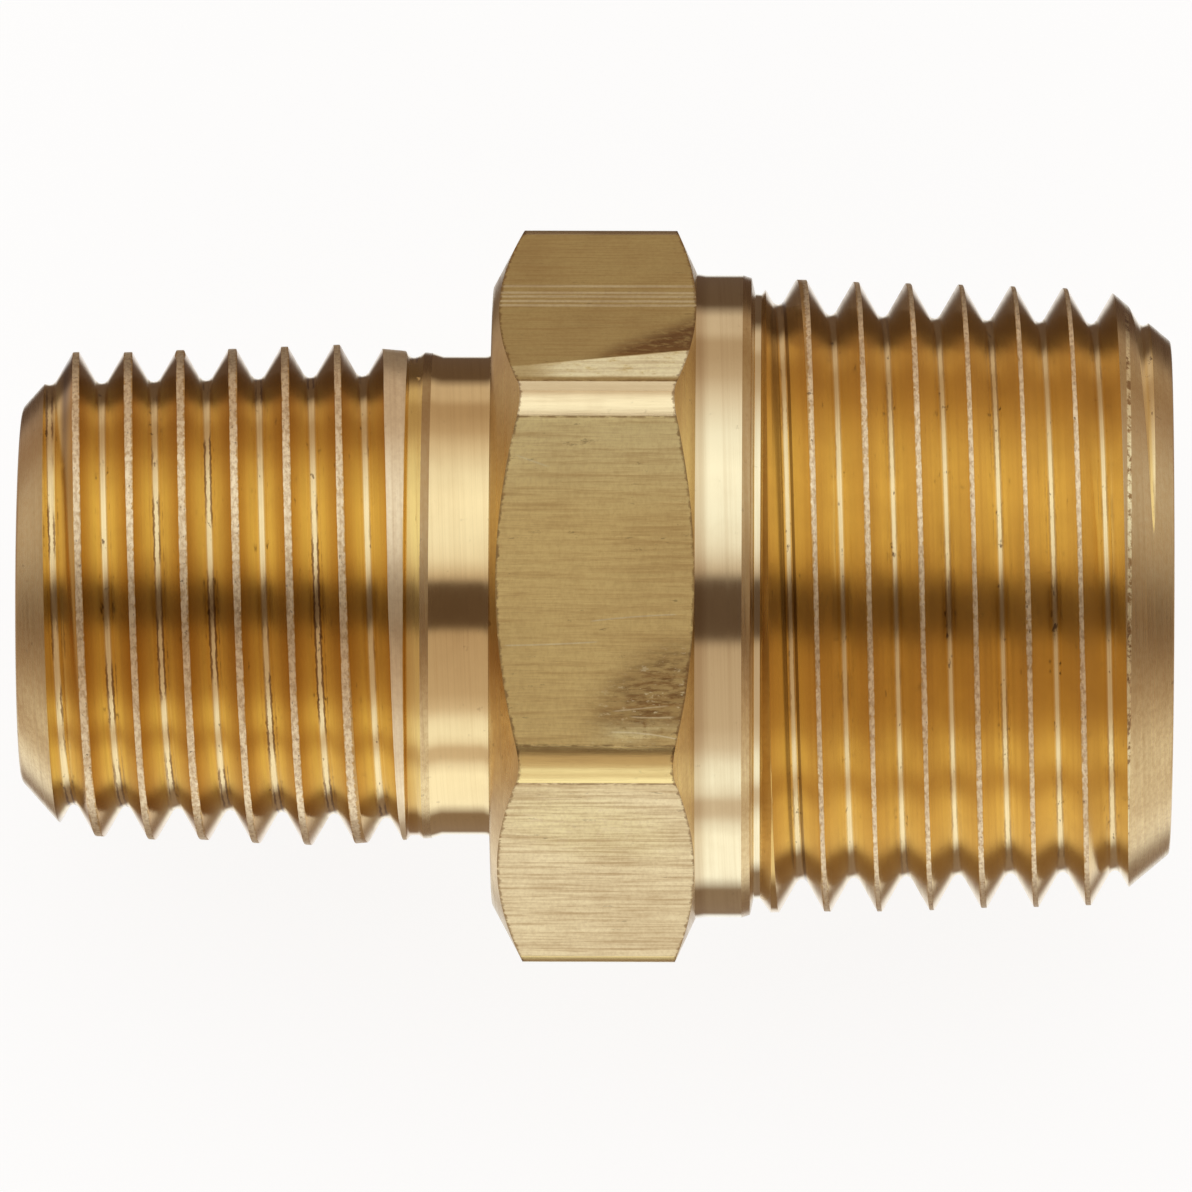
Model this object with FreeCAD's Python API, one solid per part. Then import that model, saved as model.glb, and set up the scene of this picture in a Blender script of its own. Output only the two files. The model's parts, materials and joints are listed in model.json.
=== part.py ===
import FreeCAD, Part
import math
import os
from dataclasses import dataclass

# Reducing hex nipple, 3/8 x 1/4 taper pipe thread: one length of hexagon brass bar, turned,
# threaded and drilled. Millimetres. The bore lies along X, the small end towards -X and the
# large end towards +X. The origin is on the bore's axis, midway along the hexagon. The nipple
# lies on one of its six flats, so two flats face +Z and -Z and two corners point along Y.

INCH = 25.4

# Hexagon
ACROSS_FLATS = 11 / 16 * INCH
HEX_WIDTH = 7 / 32 * INCH
HEX_CORNER_RADIUS = 1.1
HEX_SIDES = 6

# Taper pipe thread form, the same at both ends: 18 to the inch, 60 degree flanks, 1 in 16 on
# the diameter
PITCH = INCH / 18
RADIUS_GAIN = 1 / 32
FLANK_TAN = math.tan(math.radians(30))
SHARP_HEIGHT = PITCH / 2 / FLANK_TAN

# Both threaded ends stand out the same distance from the hexagon
END_LENGTH = 12.75
END_X = HEX_WIDTH / 2 + END_LENGTH

# Waterway: drilled small right through, then opened up from the large end
SMALL_BORE_RADIUS = 5 / 32 * INCH
LARGE_BORE_RADIUS = 27 / 128 * INCH
LARGE_BORE_DEPTH = 14.5
DRILL_POINT_TAN = math.tan(math.radians(59))
BORE_EDGE_BREAK = 0.25

# A neck flares a little where it runs into the hexagon
NECK_FLARE_LENGTH = 0.18

# The threaded cone eases into the relief beside the neck over this length
RELIEF_EASE = 1.7

TOUCHING = 1e-6

# The helical cutter
QUARTERS = 4
POINTS_PER_QUARTER = 6
CUTTER_CLEARANCE = 0.06
LEAD_IN_TURNS = 1.1

AXIS_START = FreeCAD.Vector(0, 0, 0)
AXIS = FreeCAD.Vector(1, 0, 0)
WHOLE_TURN = 360


@dataclass
class End:
    """One threaded end. A depth is a distance inwards from the end's face, along the bore."""

    outward: int  # +1 points along +X, -1 along -X
    pitch_diameter: float  # at the face
    crest_flat: float
    root_flat: float
    crest_station: float  # x of one crest, on the +Y side
    full_thread_depth: float  # beyond this the cutter backs out
    back_out: float  # by this times the square of the turns past it
    neck_radius: float
    neck_flare: float  # the neck's extra radius at the hexagon's face
    relief: tuple  # (depth, radius) points between the neck and the threaded cone
    face_radius: float
    chamfer_angle: float  # of the end's chamfer, from the axis
    face_rounding: float
    hex_face_radius: float  # where the hexagon's chamfer meets its face
    hex_chamfer_angle: float  # from that face

    def x(self, depth):
        return self.outward * (END_X - depth)

    def crest_radius(self, depth):
        truncation = self.crest_flat / 2 / FLANK_TAN
        at_face = self.pitch_diameter / 2 + SHARP_HEIGHT / 2 - truncation
        return at_face + depth * RADIUS_GAIN

    def root_radius(self, depth):
        truncation = self.root_flat / 2 / FLANK_TAN
        at_face = self.pitch_diameter / 2 - SHARP_HEIGHT / 2 + truncation
        turns_past = max(0.0, depth - self.full_thread_depth) / PITCH
        return at_face + depth * RADIUS_GAIN + self.back_out * turns_past**2


SMALL_END = End(
    outward=-1,
    pitch_diameter=0.47739 * INCH,
    crest_flat=0.20,
    root_flat=0.24,
    crest_station=-11.31,
    full_thread_depth=9.45,
    back_out=0.70,
    neck_radius=6.475,
    neck_flare=0.09,
    relief=((11.55, 6.475), (11.25, 6.51), (11.00, 6.58), (10.40, 6.62)),
    face_radius=5.05,
    chamfer_angle=48,
    face_rounding=0.30,
    hex_face_radius=8.36,
    hex_chamfer_angle=28,
)

LARGE_END = End(
    outward=1,
    pitch_diameter=0.61201 * INCH,
    crest_flat=0.14,
    root_flat=0.21,
    crest_station=8.43,
    full_thread_depth=9.75,
    back_out=0.70,
    neck_radius=8.695,
    neck_flare=0.03,
    relief=((11.56, 8.695), (11.46, 8.62), (11.24, 8.20), (10.95, 8.17), (10.76, 8.57)),
    face_radius=6.93,
    chamfer_angle=40,
    face_rounding=0.15,
    hex_face_radius=8.60,
    hex_chamfer_angle=25,
)


def turned(outline):
    """A solid turned about the bore's axis from a closed outline of (x, radius) points."""
    corners = [FreeCAD.Vector(x, radius, 0) for x, radius in outline]
    wire = Part.makePolygon(corners + corners[:1])
    solid = Part.Face(wire).revolve(AXIS_START, AXIS, WHOLE_TURN)
    if solid.Volume < 0:
        solid.reverse()
    return solid


def turned_end(end):
    """The blank for one end, from the middle of the hexagon to the face, before threading."""
    chamfer_slope = math.tan(math.radians(end.chamfer_angle))
    rise = end.crest_radius(0) - end.face_radius
    chamfer_depth = rise / (chamfer_slope - RADIUS_GAIN)
    flare_radius = end.neck_radius + end.neck_flare
    cone_end = end.relief[-1][0] - RELIEF_EASE
    outline = [
        (END_X, 0),
        (END_X, flare_radius),
        (END_LENGTH, flare_radius),
        (END_LENGTH - NECK_FLARE_LENGTH, end.neck_radius),
        *end.relief,
        (cone_end, end.crest_radius(cone_end)),
        (chamfer_depth, end.crest_radius(chamfer_depth)),
        (0, end.face_radius),
        (0, 0),
    ]
    blank = turned([(end.x(depth), radius) for depth, radius in outline])
    circles = [edge for edge in blank.Edges if isinstance(edge.Curve, Part.Circle)]
    rim = [edge for edge in circles if abs(edge.Curve.Center.x - end.x(0)) < TOUCHING]
    return blank.makeFillet(end.face_rounding, rim)


def helical_edge(end, first_turn, offset, height):
    """A quarter turn along the cutter: offset along X, and height above the thread's root."""
    points = []
    for i in range(POINTS_PER_QUARTER + 1):
        turn = first_turn + i / POINTS_PER_QUARTER / QUARTERS
        x = end.crest_station + (turn + 0.5) * PITCH
        radius = end.root_radius(END_X - end.outward * x) + height
        angle = 2 * math.pi * turn
        y, z = radius * math.cos(angle), radius * math.sin(angle)
        points.append(FreeCAD.Vector(x + offset, y, z))
    curve = Part.BSplineCurve()
    curve.interpolate(points)
    return curve.toShape()


def cutter_quarters(end):
    """The cutter's quarter turns, from off the end's face to where it has backed right out."""
    last_depth = end.full_thread_depth
    while end.root_radius(last_depth) < end.neck_radius + CUTTER_CLEARANCE:
        last_depth += PITCH / QUARTERS
    depths = (-LEAD_IN_TURNS * PITCH, last_depth)
    turns = [(end.x(depth) - end.crest_station) / PITCH - 0.5 for depth in depths]
    return range(math.floor(min(turns) * QUARTERS), math.ceil(max(turns) * QUARTERS))


def thread_cutter(end):
    """The solid that the threading tool sweeps: a truncated V along a right-hand taper helix."""
    depth = end.crest_radius(0) - end.root_radius(0) + CUTTER_CLEARANCE
    narrow = end.root_flat / 2
    wide = narrow + depth * FLANK_TAN
    section = ((-narrow, 0), (narrow, 0), (wide, depth), (-wide, depth))
    faces = []
    quarters = [
        [helical_edge(end, number / QUARTERS, *corner) for corner in section]
        for number in cutter_quarters(end)
    ]
    for edges in quarters:
        faces += [Part.makeRuledSurface(a, b) for a, b in zip(edges, edges[1:] + edges[:1])]
    for edges, which in ((quarters[0], 0), (quarters[-1], -1)):
        tips = [edge.Vertexes[which].Point for edge in edges]
        faces.append(Part.Face(Part.makePolygon(tips + tips[:1])))
    shell = Part.makeShell(faces)
    shell.sewShape()
    solid = Part.makeSolid(shell)
    if solid.Volume < 0:
        solid.reverse()
    return solid


def hexagon():
    """The hexagon of the bar, its corners rounded and both faces chamfered by turning."""
    corner_distance = ACROSS_FLATS / 2 / math.cos(math.pi / HEX_SIDES)
    corners = []
    for i in range(HEX_SIDES):
        angle = 2 * math.pi * i / HEX_SIDES
        y, z = corner_distance * math.cos(angle), corner_distance * math.sin(angle)
        corners.append(FreeCAD.Vector(-HEX_WIDTH / 2, y, z))
    bar = Part.Face(Part.makePolygon(corners + corners[:1]))
    prism = bar.extrude(AXIS * HEX_WIDTH)
    lengthwise = [edge for edge in prism.Edges if abs(edge.tangentAt(0).x) > 1 - TOUCHING]
    prism = prism.makeFillet(HEX_CORNER_RADIUS, lengthwise)

    outline = [(-HEX_WIDTH / 2, 0), (HEX_WIDTH / 2, 0)]
    past_corners = corner_distance + 1
    for end in (LARGE_END, SMALL_END):
        slope = math.tan(math.radians(end.hex_chamfer_angle))
        chamfer_width = (past_corners - end.hex_face_radius) * slope
        sides = [
            (end.outward * HEX_WIDTH / 2, end.hex_face_radius),
            (end.outward * (HEX_WIDTH / 2 - chamfer_width), past_corners),
        ]
        outline += sides if end is LARGE_END else sides[::-1]
    return prism.common(turned(outline))


def waterway():
    """What the two drills remove, with the sharp edge taken off each mouth."""
    drill_end_x = END_X - LARGE_BORE_DEPTH
    point_length = (LARGE_BORE_RADIUS - SMALL_BORE_RADIUS) / DRILL_POINT_TAN
    past_face = 1
    return turned(
        [
            (-END_X - past_face, 0),
            (-END_X - past_face, SMALL_BORE_RADIUS + BORE_EDGE_BREAK + past_face),
            (-END_X + BORE_EDGE_BREAK, SMALL_BORE_RADIUS),
            (drill_end_x - point_length, SMALL_BORE_RADIUS),
            (drill_end_x, LARGE_BORE_RADIUS),
            (END_X - BORE_EDGE_BREAK, LARGE_BORE_RADIUS),
            (END_X + past_face, LARGE_BORE_RADIUS + BORE_EDGE_BREAK + past_face),
            (END_X + past_face, 0),
        ]
    )


def nipple_body():
    body = hexagon()
    for end in (SMALL_END, LARGE_END):
        body = body.fuse(turned_end(end).cut(thread_cutter(end)))
    body = body.removeSplitter().cut(waterway())
    return body.Solids[0]


os.makedirs("parts", exist_ok=True)
nipple_body().exportStep("parts/nipple_body.step")
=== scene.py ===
import json
import math
from dataclasses import dataclass

import bmesh
import bpy
import numpy as np
from mathutils import Matrix, Vector
from mathutils.bvhtree import BVHTree


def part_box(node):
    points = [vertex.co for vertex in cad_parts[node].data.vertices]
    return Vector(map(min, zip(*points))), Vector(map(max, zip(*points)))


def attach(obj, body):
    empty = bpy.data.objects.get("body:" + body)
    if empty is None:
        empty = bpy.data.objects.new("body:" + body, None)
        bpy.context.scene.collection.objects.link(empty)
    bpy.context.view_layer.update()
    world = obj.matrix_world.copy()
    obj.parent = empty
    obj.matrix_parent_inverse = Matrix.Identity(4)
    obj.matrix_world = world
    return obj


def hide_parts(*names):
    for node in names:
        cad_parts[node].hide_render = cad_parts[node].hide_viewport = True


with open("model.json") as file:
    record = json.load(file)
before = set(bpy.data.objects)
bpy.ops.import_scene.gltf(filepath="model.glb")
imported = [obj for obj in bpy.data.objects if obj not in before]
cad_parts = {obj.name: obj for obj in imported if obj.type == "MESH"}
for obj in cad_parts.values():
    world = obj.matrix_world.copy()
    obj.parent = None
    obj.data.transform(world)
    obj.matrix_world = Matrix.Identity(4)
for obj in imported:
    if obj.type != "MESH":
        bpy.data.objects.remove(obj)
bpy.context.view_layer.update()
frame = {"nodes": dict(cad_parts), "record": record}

# The fitting is one closed mesh: a section that runs from the small end's mouth, over both
# threads and the hexagon, into the large end's mouth and back through the bore, carried round
# the axis in columns. Lengths are millimetres until the mesh is made. A depth is a distance
# inwards from an end's face, along the bore.

MM = 0.001
INCH = 25.4

# The camera leans this many degrees from straight overhead, towards -Y
CAMERA_TILT = 2.6

# Taper pipe thread form, the same at both ends
PITCH = INCH / 18
RADIUS_GAIN = 1 / 32
FLANK_TAN = math.tan(math.radians(30))
SHARP_HEIGHT = PITCH / 2 / FLANK_TAN

# Columns round the axis: each flat and each rounded corner of the hexagon has its own spacing
SIDES = 6
COLUMNS_PER_FLAT = 40
COLUMNS_PER_CORNER = 6

# Rows: the bevel along a crest's edges, the arcs that round the section and the thread's root,
# how finely a groove's edges are looked for, then the hexagon's flats and chamfers and the bore
CREST_BEVEL = 0.028
ROOT_ROUNDING = 0.18
ARC_STEPS = 4
ARC_REACH = ROOT_ROUNDING * math.cos(math.atan(FLANK_TAN))
EDGE_SAMPLES = 129
FLAT_ROWS = 34
CHAMFER_ROWS = 4
BORE_ROWS = 8

# Points nearer than WELD become one, and a length below SAME_PLACE is no length at all
WELD = 0.002
SAME_PLACE = 1e-4

# Faces that meet more sharply than this keep their edge in the shading
SHARP_EDGE = math.radians(32)

# -------- measured on the frame

body = frame["nodes"]["nipple_body"]
skin = BVHTree.FromPolygons(
    [v.co for v in body.data.vertices], [tuple(p.vertices) for p in body.data.polygons]
)
mounts = {m["name"]: m for m in frame["record"]["mounts"]}
box_low, box_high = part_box("nipple_body")

END_X = box_high.x / MM
HALF_FLATS = box_high.z / MM
CORNER_REACH = box_high.y / MM


def radius_at(x):
    """Outside radius of the CAD part at this station, on its +Y side."""
    start = Vector((x, 2 * CORNER_REACH, 0)) * MM
    return skin.ray_cast(start, Vector((0, -1, 0)))[0].y / MM


def station_at(outward, radius):
    """Where a line along X at this radius, on the +Y side, first meets that end's surface."""
    start = Vector((2 * outward * END_X, radius, 0)) * MM
    return skin.ray_cast(start, Vector((-outward, 0, 0)))[0].x / MM


def crest_station(outward):
    """Station of a thread crest on the +Y side, from the phase of the thread's outline."""
    turns, samples, middle_depth = 4, 400, 7
    spread = np.linspace(-turns / 2, turns / 2, samples, endpoint=False) * PITCH
    x = outward * (END_X - middle_depth) + spread
    radius = np.array([radius_at(station) for station in x])
    radius += outward * x * RADIUS_GAIN
    angle = 2 * math.pi * x / PITCH
    phase = math.atan2((radius * np.sin(angle)).sum(), (radius * np.cos(angle)).sum())
    return phase * PITCH / 2 / math.pi


# The hexagon's half width, from the face beyond the small neck
HALF_WIDTH = -station_at(-1, 0.8 * HALF_FLATS)
END_LENGTH = END_X - HALF_WIDTH

# This far from the hexagon both necks are plain
ON_NECK = 0.7

# The corners' rounding, from how far a sharp corner would have reached
SHARP_CORNER = HALF_FLATS / math.cos(math.pi / SIDES)
CORNER_RADIUS = (SHARP_CORNER - CORNER_REACH) / (1 / math.cos(math.pi / SIDES) - 1)
FLAT_HALF_SPAN = (HALF_FLATS - CORNER_RADIUS) * math.tan(math.pi / SIDES)
FLAT_HALF_ANGLE = math.atan2(FLAT_HALF_SPAN, HALF_FLATS)
HALF_SIDE = HALF_FLATS * math.tan(math.pi / SIDES)


def column_angles():
    """Angles from +Y towards +Z, one whole turn. A corner is at zero and a flat at 90 degrees."""
    side = 2 * math.pi / SIDES
    corner = np.linspace(-side / 2 + FLAT_HALF_ANGLE, side / 2 - FLAT_HALF_ANGLE,
                         COLUMNS_PER_CORNER + 1)
    flat = np.linspace(side / 2 - FLAT_HALF_ANGLE, side / 2 + FLAT_HALF_ANGLE,
                       COLUMNS_PER_FLAT + 1)
    turn = [n * side + a for n in range(SIDES) for a in (*corner[:-1], *flat[:-1])]
    start = COLUMNS_PER_CORNER // 2
    return np.array(turn[start:] + [a + 2 * math.pi for a in turn[: start + 1]])


ANGLES = column_angles()

# -------- sections

# The kinds of surface, in the order of their finishes
(NECK, CHAMFER, FACE, CREST, FLANK, ROOT, FLAT, CORNER, HEX_CHAMFER, BORE,
 LAST_CREST) = range(11)


def rounded(points, radii):
    """A polyline with an arc in place of each inner corner that has a radius."""
    result = [np.array(points[0], float)]
    for before, corner, after, radius in zip(points, points[1:], points[2:], radii):
        corner = np.array(corner, float)
        arrive = corner - np.array(before, float)
        leave = np.array(after, float) - corner
        arrive /= np.linalg.norm(arrive)
        leave /= np.linalg.norm(leave)
        turn = math.acos(max(-1.0, min(1.0, float(arrive @ leave))))
        tangent = radius * math.tan(turn / 2)
        if tangent < SAME_PLACE:
            result.append(corner)
            continue
        inner = (leave - arrive) / np.linalg.norm(leave - arrive)
        centre = corner + inner * radius / math.cos(turn / 2)
        first = corner - arrive * tangent - centre
        for i in range(ARC_STEPS + 1):
            share = i / ARC_STEPS
            last = corner + leave * tangent - centre
            swept = (first * math.sin((1 - share) * turn) + last * math.sin(share * turn))
            result.append(centre + swept / math.sin(turn))
    result.append(np.array(points[-1], float))
    return result


def helix_wear(turns):
    """How far a thread's crest is worn down, this many turns along its helix. It can be less
    than nothing, where the cutter has thrown up a sharp edge."""
    length, samples_per_turn = 40, 120
    samples = length * samples_per_turn
    chance = np.random.default_rng(18).standard_normal(samples)
    worn = np.zeros(samples)
    for window, depth in ((90, 0.013), (14, 0.005), (4, 0.005)):
        smooth = np.convolve(chance, np.hanning(window + 2), "same")
        worn += depth * smooth / smooth.std()
    rare, nick_depth = 3.0, 0.07
    nicks = np.convolve(np.roll(chance, samples // 2) > rare, np.hanning(7), "same")
    worn += nick_depth * nicks
    sharpest, bluntest = -0.02, 0.12
    place = (np.asarray(turns) / length + 0.5) * samples
    return np.interp(place, np.arange(samples), np.clip(worn, sharpest, bluntest))


@dataclass
class End:
    """One threaded end."""

    outward: int  # +1 points along +X, -1 along -X
    face_crest_radius: float  # where the threaded cone meets the face's plane
    crest_flat: float
    root_flat: float
    full_thread_depth: float  # beyond this the cutter backs out
    back_out: float  # by this times the square of the turns past it
    neck_radius: float
    neck_flare: float
    relief: tuple  # between neck and threads: (depth, radius above the neck's, kind beyond)
    relief_rounding: float
    face_rounding: float
    bore_radius: float
    plain_depth: float  # the chamfer is plain down to here, and beyond it the dies have marked it
    last_crest: int  # the kind of surface that the crests are beyond the full thread

    def __post_init__(self):
        self.crest = crest_station(self.outward)
        near, far = self.probe_radii()
        near_depth, far_depth = (END_X - self.outward * station_at(self.outward, r)
                                 for r in (near, far))
        slope = (far - near) / (far_depth - near_depth)
        self.face_radius = near - slope * near_depth
        self.chamfer_depth = (self.face_crest_radius - self.face_radius) / (slope - RADIUS_GAIN)
        self.make_outline()

    def probe_radii(self):
        """Two radii on the end's chamfer, below the thread."""
        root = self.face_crest_radius - self.thread_depth()
        clear, further = 0.06, 0.25
        return root - further, root - clear

    def thread_depth(self):
        return SHARP_HEIGHT - (self.crest_flat + self.root_flat) / 2 / FLANK_TAN

    def cone(self, depth):
        return self.face_crest_radius + depth * RADIUS_GAIN

    def make_outline(self):
        """The section before threading, from the bore's mouth to the hexagon's face."""
        edge_break, edge_rounding, relief_ease = 0.25, 0.12, 1.7
        flare_length, flare_rounding = 0.18, 0.25
        mouth = (0, self.bore_radius + edge_break)
        cone_start = self.relief[-1][0] - relief_ease
        corners = [
            ((edge_break, self.bore_radius), 0),
            (mouth, edge_rounding),
            ((0, self.face_radius), self.face_rounding),
            ((self.chamfer_depth, self.cone(self.chamfer_depth)), edge_rounding),
            ((cone_start, self.cone(cone_start)), 0),
            *(((depth, self.neck_radius + rise), self.relief_rounding)
              for depth, rise, _ in self.relief[::-1]),
            ((END_LENGTH - flare_length, self.neck_radius), flare_rounding),
            ((END_LENGTH, self.neck_radius + self.neck_flare), 0),
        ]
        line = np.array(rounded([c[0] for c in corners], [c[1] for c in corners[1:-1]]))
        first = len(line) - 1 - int(np.argmin(line[::-1, 0] > SAME_PLACE))
        self.mouth_line = line[: first + 1]
        self.outline = line[first:]

    def blank(self, depth, angle):
        """Radius before the groove is cut, with the wear that its crests have had since."""
        x = self.outward * (END_X - depth)
        around = angle / 2 / math.pi
        crest = np.round((x - self.crest) / PITCH - around)
        threaded = (depth > self.chamfer_depth) & (depth < self.relief[-1][0])
        worn = np.where(threaded, helix_wear(crest + around), 0)
        return np.interp(depth, self.outline[:, 0], self.outline[:, 1]) - worn

    def centre_depth(self, turn, angle):
        """Depth of the middle of the groove, this many turns on from the measured crest."""
        x = self.crest + (turn + 0.5 + angle / 2 / math.pi) * PITCH
        return END_X - self.outward * x

    def floor(self, centre):
        past = np.maximum(0, centre - self.full_thread_depth) / PITCH
        return self.cone(centre) - self.thread_depth() + self.back_out * past**2

    def root_half_flat(self):
        """Half the flat that is left between the root's two roundings."""
        return self.root_flat / 2 - ROOT_ROUNDING * FLANK_TAN

    def groove(self, depth, centre):
        off_flat = np.maximum(0, np.abs(depth - centre) - self.root_half_flat())
        on_arc = np.minimum(off_flat, ARC_REACH)
        arc = ROOT_ROUNDING - np.sqrt(ROOT_ROUNDING**2 - on_arc**2)
        return self.floor(centre) + arc + (off_flat - on_arc) / FLANK_TAN

    def nearest_centre(self, depth, angle):
        x = self.outward * (END_X - depth)
        turn = np.round((x - self.crest) / PITCH - 0.5 - angle / 2 / math.pi)
        return self.centre_depth(turn, angle)

    def surface(self, depth, angle):
        """Radius after threading, with the crest's edges softened, and the kind of surface."""
        blank = self.blank(depth, angle)
        centre = self.nearest_centre(depth, angle)
        groove = self.groove(depth, centre)
        share = np.clip(0.5 + (groove - blank) / 2 / CREST_BEVEL, 0, 1)
        radius = groove + (blank - groove) * share - CREST_BEVEL * share * (1 - share)
        kind = np.where(depth < self.chamfer_depth, FLANK, CREST)
        kind = np.where(depth < self.plain_depth, CHAMFER, kind)
        kind = np.where(depth > self.full_thread_depth, self.last_crest, kind)
        for start, _, beyond in self.relief[::-1]:
            kind = np.where(depth > start, beyond, kind)
        in_groove = groove < blank
        on_floor = np.abs(depth - centre) < self.root_half_flat() + ARC_REACH
        kind = np.where(in_groove, np.where(on_floor, ROOT, FLANK), kind)
        return radius, kind

    def turns(self):
        """Every turn of the groove that reaches this end on some side."""
        depths = np.array([self.centre_depth(0, 0), self.centre_depth(1, 0)])
        step = depths[1] - depths[0]
        low, high = sorted(((-PITCH - depths[0]) / step, (END_LENGTH - depths[0]) / step))
        return range(math.floor(low) - 1, math.ceil(high) + 1)

    def groove_lines(self, turn):
        """Depths, for each column, of the lines along one turn of groove."""
        centre = self.centre_depth(turn, ANGLES)
        depth = centre + np.linspace(-PITCH / 2, PITCH / 2, EDGE_SAMPLES)[:, None]
        clear = self.groove(depth, centre) - self.blank(depth, ANGLES)
        deepest = clear.argmin(axis=0)
        index = np.arange(EDGE_SAMPLES)[:, None]
        before = np.where((clear >= 0) & (index <= deepest), index, 0).max(axis=0)
        after = np.where((clear >= 0) & (index >= deepest), index, EDGE_SAMPLES - 1).min(axis=0)
        edges = []
        for outside, step in ((before, 1), (after, -1)):
            inside = np.where(outside == deepest, outside, outside + step)
            columns = np.arange(len(ANGLES))
            over, under = clear[outside, columns], clear[inside, columns]
            share = np.clip(over / np.maximum(over - under, 1e-9), 0, 1)
            start, stop = depth[outside, columns], depth[inside, columns]
            edges.append(start + (stop - start) * share)
        outer, inner = edges
        bevel = CREST_BEVEL * FLANK_TAN
        lines = [outer - CREST_BEVEL, outer, inner, inner + CREST_BEVEL]
        flat = self.root_half_flat()
        root = [side * (flat + reach) for side in (-1, 1) for reach in (0, ARC_REACH / 2, ARC_REACH)]
        for line in (outer + 2 * bevel, *(centre + off for off in root), inner - 2 * bevel):
            lines.append(np.clip(line, outer, inner))
        return lines

    def rows(self):
        """Depths and radii of the outside, from the face to the hexagon, one row per line."""
        ring = np.ones(len(ANGLES))
        thread_end = self.relief[0][0]
        lines = [ring * depth for depth in self.outline[:, 0]]
        for turn in self.turns():
            lines += [np.clip(line, 0, thread_end) for line in self.groove_lines(turn)]
        depth = np.sort(np.array(lines), axis=0)
        radius, _ = self.surface(depth, ANGLES[None, :])
        return depth, radius


SMALL = End(
    outward=-1,
    face_crest_radius=mounts["small_male_thread"]["dims"]["r_mm"],
    crest_flat=0.20,
    root_flat=0.24,
    full_thread_depth=9.45,
    back_out=0.70,
    neck_radius=radius_at(-HALF_WIDTH - ON_NECK),
    neck_flare=0.09,
    relief=(
        (11.40, 0, NECK),
        (11.11, 0.09, NECK),
        (10.88, 0.11, CHAMFER),
        (10.76, 0.02, FLANK),
        (10.52, 0.02, FLANK),
        (10.44, 0.145, FLANK),
    ),
    relief_rounding=0.08,
    face_rounding=0.30,
    bore_radius=mounts["small_flow_bore"]["dims"]["r_mm"],
    plain_depth=1.0,
    last_crest=LAST_CREST,
)

LARGE = End(
    outward=1,
    face_crest_radius=mounts["large_male_thread"]["dims"]["r_mm"],
    crest_flat=0.14,
    root_flat=0.21,
    full_thread_depth=10.20,
    back_out=2.60,
    neck_radius=radius_at(HALF_WIDTH + ON_NECK),
    neck_flare=0.03,
    relief=(
        (11.56, 0, NECK),
        (11.33, -0.075, CHAMFER),
        (11.24, -0.495, CHAMFER),
        (11.06, -0.51, NECK),
        (10.76, -0.125, FLANK),
    ),
    relief_rounding=0.04,
    face_rounding=0.15,
    bore_radius=mounts["large_flow_bore"]["dims"]["r_mm"],
    plain_depth=1.6,
    last_crest=FLANK,
)


def hexagon_radius(angle):
    """Distance from the axis to the hexagon's side, with its rounded corners."""
    side = 2 * math.pi / SIDES
    off_corner = (angle + side / 2) % side - side / 2
    off_flat = side / 2 - np.abs(off_corner)
    flat = HALF_FLATS / np.cos(off_flat)
    reach = (HALF_FLATS - CORNER_RADIUS) / math.cos(side / 2)
    arc = reach * np.cos(off_corner)
    arc += np.sqrt(CORNER_RADIUS**2 - (reach * np.sin(off_corner)) ** 2 + 0j).real
    return np.where(off_flat < FLAT_HALF_ANGLE, flat, arc)


def cone_of(outward):
    """The hexagon's chamfer on one side: its radius at the face, and its run along X per mm."""
    beyond_flat, short_of_corner = 0.1, 0.25
    low, high = HALF_FLATS + beyond_flat, CORNER_REACH - short_of_corner
    near, far = (outward * station_at(outward, radius) for radius in (low, high))
    run = (near - far) / (high - low)
    return low - (HALF_WIDTH - near) / run, run


def off_flat_centre(angle):
    """Angle from the middle of the nearest flat, rising the same way as the angle itself."""
    side = 2 * math.pi / SIDES
    return angle % side - side / 2


def unevenness(x, off_centre, seed):
    """Gentle waves, between -1 and 1, over a flat."""
    chance = np.random.default_rng(seed)
    waves, slowest, fastest = 6, 0.5, 3.5
    total = 0
    for _ in range(waves):
        along, around = chance.uniform(slowest, fastest, 2)
        total = total + np.sin(along * x + around * off_centre + chance.uniform(0, 6))
    return total / waves


def patch(x, off_centre, centre, size, lean):
    """One in the middle of a soft-edged patch on a flat, falling to nothing outside it."""
    along = (x - centre[0]) / size[0]
    around = (off_centre - centre[1] - lean * (x - centre[0])) / size[1]
    return np.exp(-(along**2 + around**2) ** 2)


def knocks(x, angle):
    """What has happened to the flats: depth, and shares of soil and of bright bare metal. The
    flats are numbered from +Y: the second faces the camera and the third is towards -Y."""
    off_centre = HALF_FLATS * np.tan(off_flat_centre(angle))
    number = np.floor(angle / (2 * math.pi / SIDES)) % SIDES
    facing, lower = (number == n for n in (1, 2))
    scrape = patch(x, off_centre, centre=(0.70 * HALF_WIDTH, 0.60 * HALF_SIDE),
                   size=(1.90, 1.25), lean=-0.35)
    rubbed = patch(x, off_centre, centre=(0.45 * HALF_WIDTH, 0.79 * HALF_SIDE),
                   size=(1.2, 0.22), lean=-0.05)
    worn_low = patch(x, off_centre, centre=(-0.1 * HALF_WIDTH, -0.45 * HALF_SIDE),
                     size=(2.6, 1.6), lean=0.3)
    waves = unevenness(x, off_centre, seed=5) * 0.5 + 0.5
    gouges = unevenness(3.1 * x, 2.7 * off_centre, seed=6) * 0.5 + 0.5
    wave_depth, gouge_depth = 0.010, 0.05
    depth = wave_depth * waves + gouge_depth * (scrape + rubbed) * gouges * facing
    return depth, scrape * facing, 0.8 * rubbed * facing + 0.5 * worn_low * lower


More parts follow.
